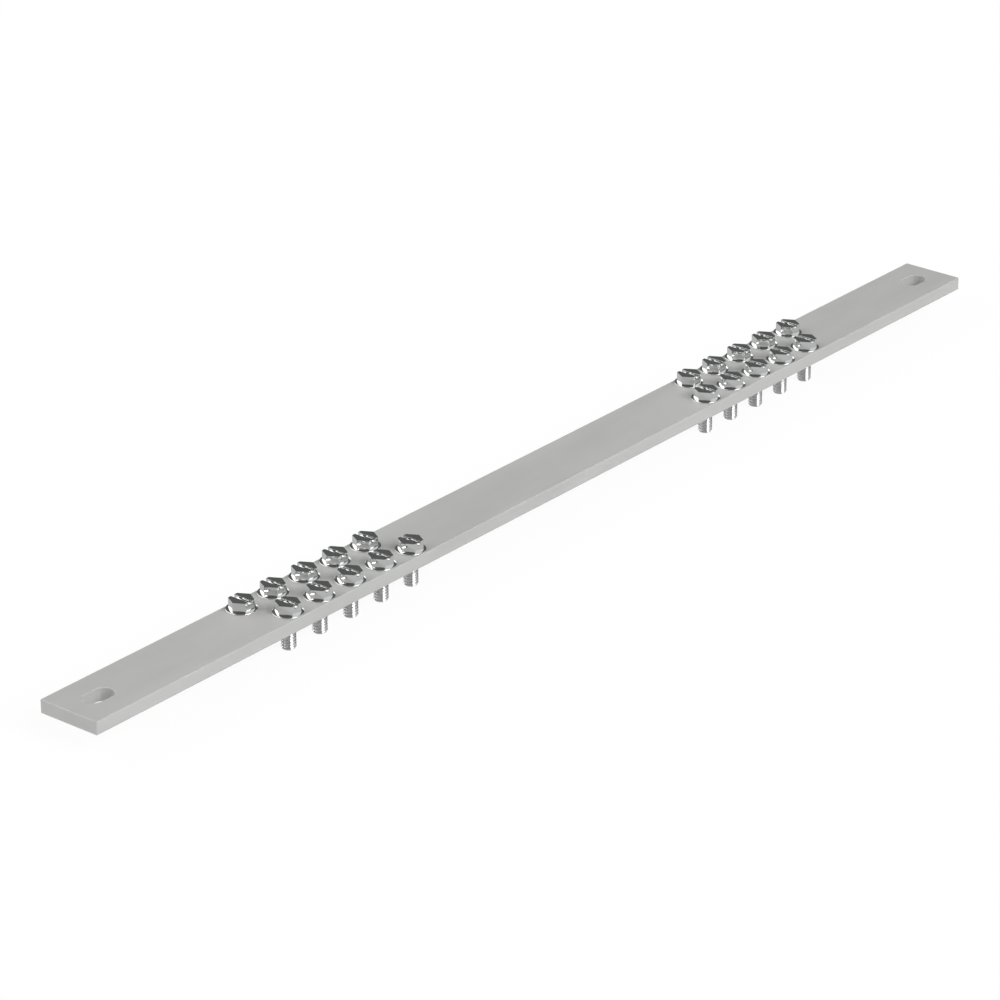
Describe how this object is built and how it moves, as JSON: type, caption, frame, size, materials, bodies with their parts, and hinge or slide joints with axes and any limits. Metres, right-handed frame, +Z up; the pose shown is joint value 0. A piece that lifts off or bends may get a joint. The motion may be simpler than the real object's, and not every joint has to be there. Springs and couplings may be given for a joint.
{
  "type": "earth terminal bar",
  "caption": "Flat plated earth bar with two banks of slotted hexagon washer head terminal screws in staggered rows and a fixing slot near each end.",
  "frame": {"origin": "middle of the bar's underside, halfway between the two fixing slots", "axes": "+X along the bar, +Y across it, +Z up out of the screw heads"},
  "size_m": [0.59, 0.03, 0.0207],
  "materials": {
    "tinned_bar": "matt tin plating on copper, light grey, fine grain along the bar",
    "plated_screw": "bright zinc plating, smooth and mirror-like"
  },
  "bodies": {
    "root": {"bar": "tinned_bar", "left_rear_screw_1": "plated_screw", "left_rear_screw_2": "plated_screw", "left_rear_screw_3": "plated_screw", "left_rear_screw_4": "plated_screw", "left_rear_screw_5": "plated_screw", "left_front_screw_1": "plated_screw", "left_front_screw_2": "plated_screw", "left_front_screw_3": "plated_screw", "left_front_screw_4": "plated_screw", "left_front_screw_5": "plated_screw", "right_rear_screw_1": "plated_screw", "right_rear_screw_2": "plated_screw", "right_rear_screw_3": "plated_screw", "right_rear_screw_4": "plated_screw", "right_rear_screw_5": "plated_screw", "right_front_screw_1": "plated_screw", "right_front_screw_2": "plated_screw", "right_front_screw_3": "plated_screw", "right_front_screw_4": "plated_screw", "right_front_screw_5": "plated_screw"}
  },
  "joints": []
}
